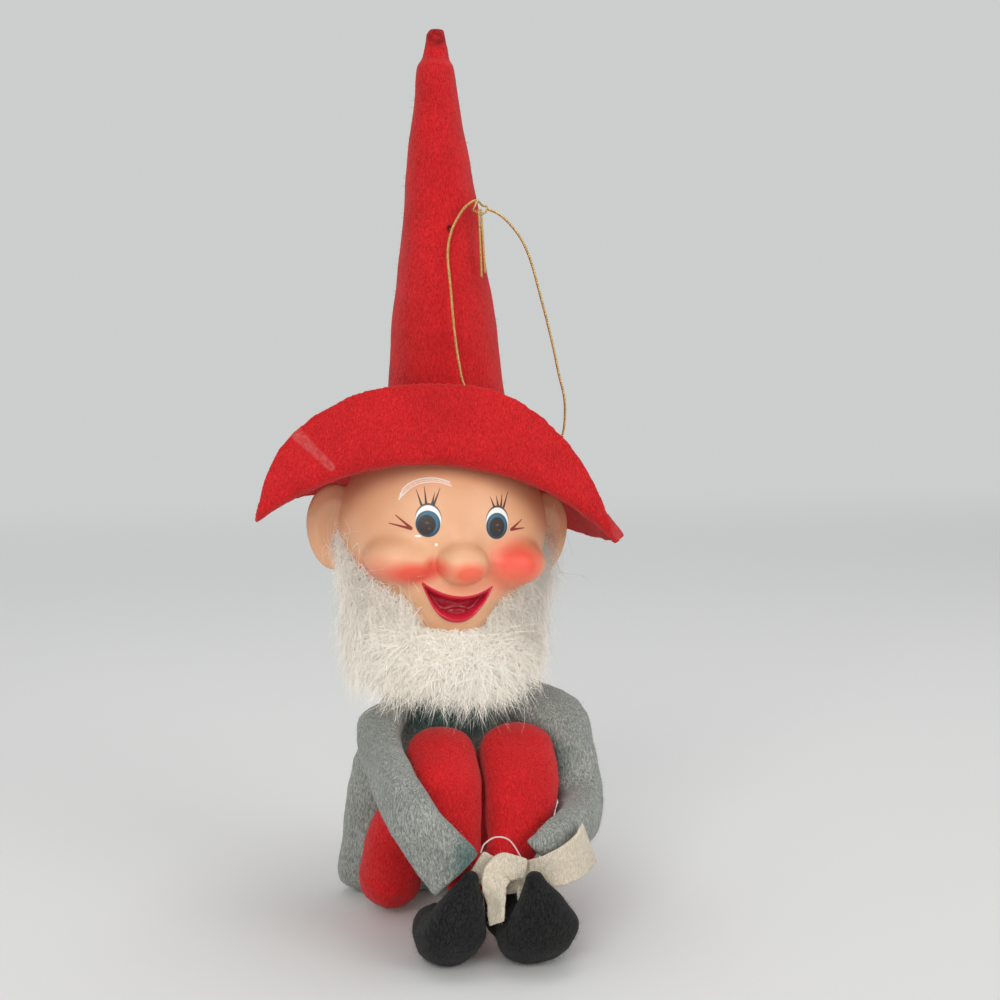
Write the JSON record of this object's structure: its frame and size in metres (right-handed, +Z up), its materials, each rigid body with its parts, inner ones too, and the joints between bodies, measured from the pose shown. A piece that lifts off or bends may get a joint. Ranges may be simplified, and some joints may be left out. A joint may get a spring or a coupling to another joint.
{
  "type": "seated elf figurine",
  "caption": "Seated felt elf ornament hugging its knees, with a painted vinyl face, fur beard, tall brimmed felt hat and a hanging cord.",
  "frame": {"origin": "centre of the bounding box on the plane the figure sits on, without the hanging cord", "axes": "+Z up along the tall hat, the elf faces -Y, its left hand is towards +X"},
  "size_m": [0.1152, 0.124, 0.2721],
  "materials": {
    "red_felt": "matt wool felt, slightly faded",
    "grey_felt": "napped felt, once teal, faded to grey where light reached it",
    "black_felt": "matt felt",
    "white_felt": "thin yellowed felt",
    "vinyl": "soft vinyl with sprayed cheeks and painted features",
    "fur": "loose white pile fur, slightly yellowed",
    "gold_cord": "wrapped metallic thread",
    "thread": "sewing thread"
  },
  "bodies": {
    "root": {"hat_cone": "red_felt", "hat_brim": "red_felt", "head": "vinyl", "beard": "fur", "jacket_body": "grey_felt", "sleeve_right": "grey_felt", "sleeve_left": "grey_felt", "hand_right": "white_felt", "hand_left": "white_felt", "leg_right": "red_felt", "leg_left": "red_felt", "boot_right": "black_felt", "boot_left": "black_felt", "hanger_cord_right": "gold_cord", "hanger_cord_left": "gold_cord", "hanger_knot": "gold_cord", "hand_thread": "thread"}
  },
  "joints": []
}
